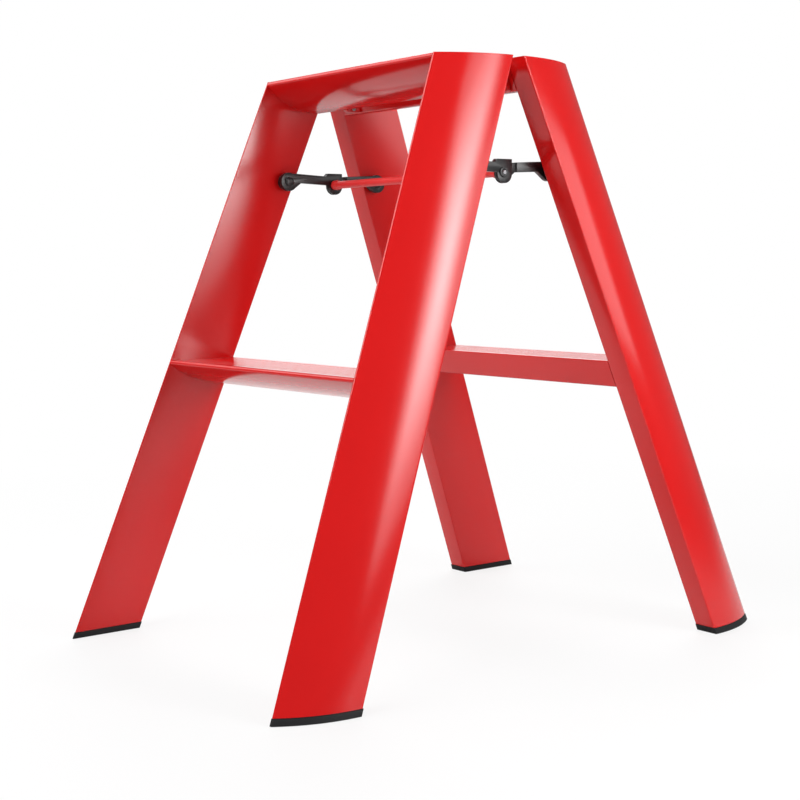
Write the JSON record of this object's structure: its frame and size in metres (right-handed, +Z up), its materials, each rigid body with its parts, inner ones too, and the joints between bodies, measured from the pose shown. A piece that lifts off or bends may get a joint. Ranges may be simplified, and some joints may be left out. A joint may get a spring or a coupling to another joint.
{
  "type": "folding step ladder",
  "caption": "Two-step folding stool: two leaning frames of wedge-section legs and treads, hinged at a split platform and locked by folding stays.",
  "frame": {"origin": "middle of the footprint on the floor", "axes": "+X to the right across the width, +Y from the front frame to the rear frame, +Z up"},
  "size_m": [0.42, 0.5846, 0.56],
  "materials": {
    "red_paint": "gloss red paint on aluminium",
    "black_metal": "satin black",
    "black_plastic": "satin black",
    "black_rubber": "matte black",
    "plain_steel": "plain steel"
  },
  "bodies": {
    "front_frame": {"front_left_leg": "red_paint", "front_left_leg_cap": "red_paint", "front_left_foot": "black_rubber", "front_left_hinge_bracket": "red_paint", "front_left_bracket_screw_1": "plain_steel", "front_left_bracket_screw_2": "plain_steel", "front_left_stay_boss": "black_plastic", "front_right_leg": "red_paint", "front_right_leg_cap": "red_paint", "front_right_foot": "black_rubber", "front_right_hinge_bracket": "red_paint", "front_right_bracket_screw_1": "plain_steel", "front_right_bracket_screw_2": "plain_steel", "front_right_stay_boss": "black_plastic", "front_platform_half": "red_paint", "front_lower_step": "red_paint", "left_hinge_pin": "plain_steel", "right_hinge_pin": "plain_steel", "front_left_stay_rivet": "black_metal", "front_right_stay_rivet": "black_metal"},
    "rear_frame": {"rear_left_leg": "red_paint", "rear_left_leg_cap": "red_paint", "rear_left_foot": "black_rubber", "rear_left_hinge_bracket": "red_paint", "rear_left_bracket_screw_1": "plain_steel", "rear_left_bracket_screw_2": "plain_steel", "rear_left_stay_boss": "black_plastic", "rear_right_leg": "red_paint", "rear_right_leg_cap": "red_paint", "rear_right_foot": "black_rubber", "rear_right_hinge_bracket": "red_paint", "rear_right_bracket_screw_1": "plain_steel", "rear_right_bracket_screw_2": "plain_steel", "rear_right_stay_boss": "black_plastic", "rear_platform_half": "red_paint", "rear_lower_step": "red_paint"},
    "front_stays": {"front_left_stay": "black_metal", "front_right_stay": "black_metal", "lock_bar": "red_paint", "left_middle_pin": "plain_steel", "right_middle_pin": "plain_steel", "left_pin_washer": "black_metal", "right_pin_washer": "black_metal"},
    "rear_left_stay_body": {"rear_left_stay": "black_metal", "rear_left_stay_rivet": "black_metal"},
    "rear_right_stay_body": {"rear_right_stay": "black_metal", "rear_right_stay_rivet": "black_metal"}
  },
  "joints": [
    {"name": "frame_fold", "type": "hinge", "parent": "front_frame", "child": "rear_frame", "pos_m": [0, 0, 0.55], "axis": [1, 0, 0], "range_deg": [-41.56, 0]},
    {"name": "front_stay_fold", "type": "hinge", "parent": "front_frame", "child": "front_stays", "pos_m": [0, -0.05704, 0.4587], "axis": [1, 0, 0], "range_deg": [0, 50.37]},
    {"name": "rear_left_stay_fold", "type": "hinge", "parent": "front_stays", "child": "rear_left_stay_body", "pos_m": [0, 0, 0.4561], "axis": [1, 0, 0], "range_deg": [-142.25, 0]},
    {"name": "rear_right_stay_fold", "type": "hinge", "parent": "front_stays", "child": "rear_right_stay_body", "pos_m": [0, 0, 0.4561], "axis": [1, 0, 0], "range_deg": [-142.25, 0]}
  ],
  "couplings": [
    {"joint": "front_stay_fold", "follows": "frame_fold", "ratio": -1.2107},
    {"joint": "rear_left_stay_fold", "follows": "frame_fold", "ratio": 3.4215},
    {"joint": "rear_right_stay_fold", "follows": "frame_fold", "ratio": 3.4215}
  ]
}
